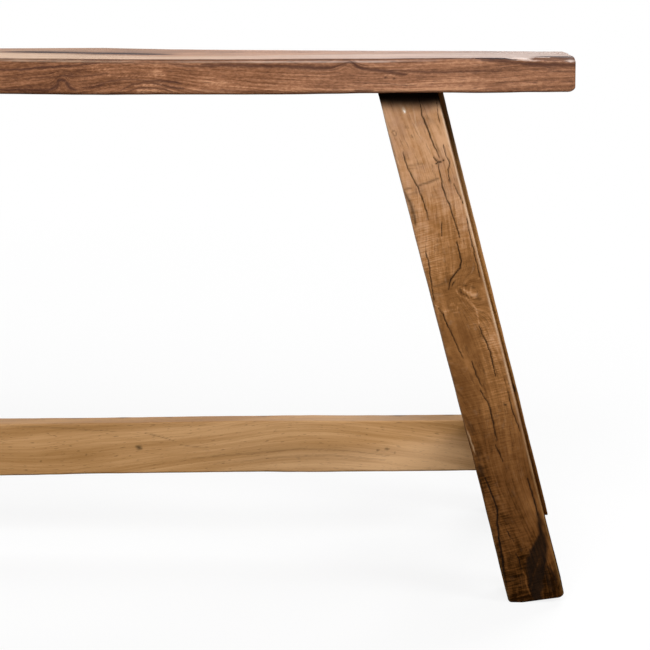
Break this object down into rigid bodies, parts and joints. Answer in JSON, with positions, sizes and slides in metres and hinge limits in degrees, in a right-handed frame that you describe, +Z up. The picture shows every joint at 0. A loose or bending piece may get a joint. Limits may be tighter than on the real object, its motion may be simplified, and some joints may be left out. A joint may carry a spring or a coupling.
{
  "type": "wooden bench",
  "caption": "Rustic reclaimed-teak bench: a thick plank seat on two end frames of splayed square legs, tied together low down by one long stretcher.",
  "frame": {"origin": "on the floor, under the middle of the bench", "axes": "+X along the bench to the right end, +Y from front to back, +Z up"},
  "size_m": [1.5276, 0.34, 0.45],
  "materials": {
    "seat_teak": "old teak, planed smooth and oiled, eased edges with chips",
    "leg_teak": "old teak with saw marks, knots and drying cracks, oiled",
    "rail_teak": "old teak, planed and oiled",
    "stretcher_teak": "honey-coloured teak, planed and oiled",
    "peg_hardwood": "turned hardwood, cut flush",
    "screw_steel": "zinc-plated wood screws"
  },
  "bodies": {
    "root": {"seat": "seat_teak", "leg_front_right": "leg_teak", "leg_rear_right": "leg_teak", "leg_front_left": "leg_teak", "leg_rear_left": "leg_teak", "top_rail_right": "rail_teak", "top_rail_left": "rail_teak", "lower_rail_right": "rail_teak", "lower_rail_left": "rail_teak", "stretcher": "stretcher_teak", "stretcher_wedges": "peg_hardwood", "rail_pegs": "peg_hardwood", "leg_dowels": "peg_hardwood", "seat_screws": "screw_steel"}
  },
  "joints": []
}
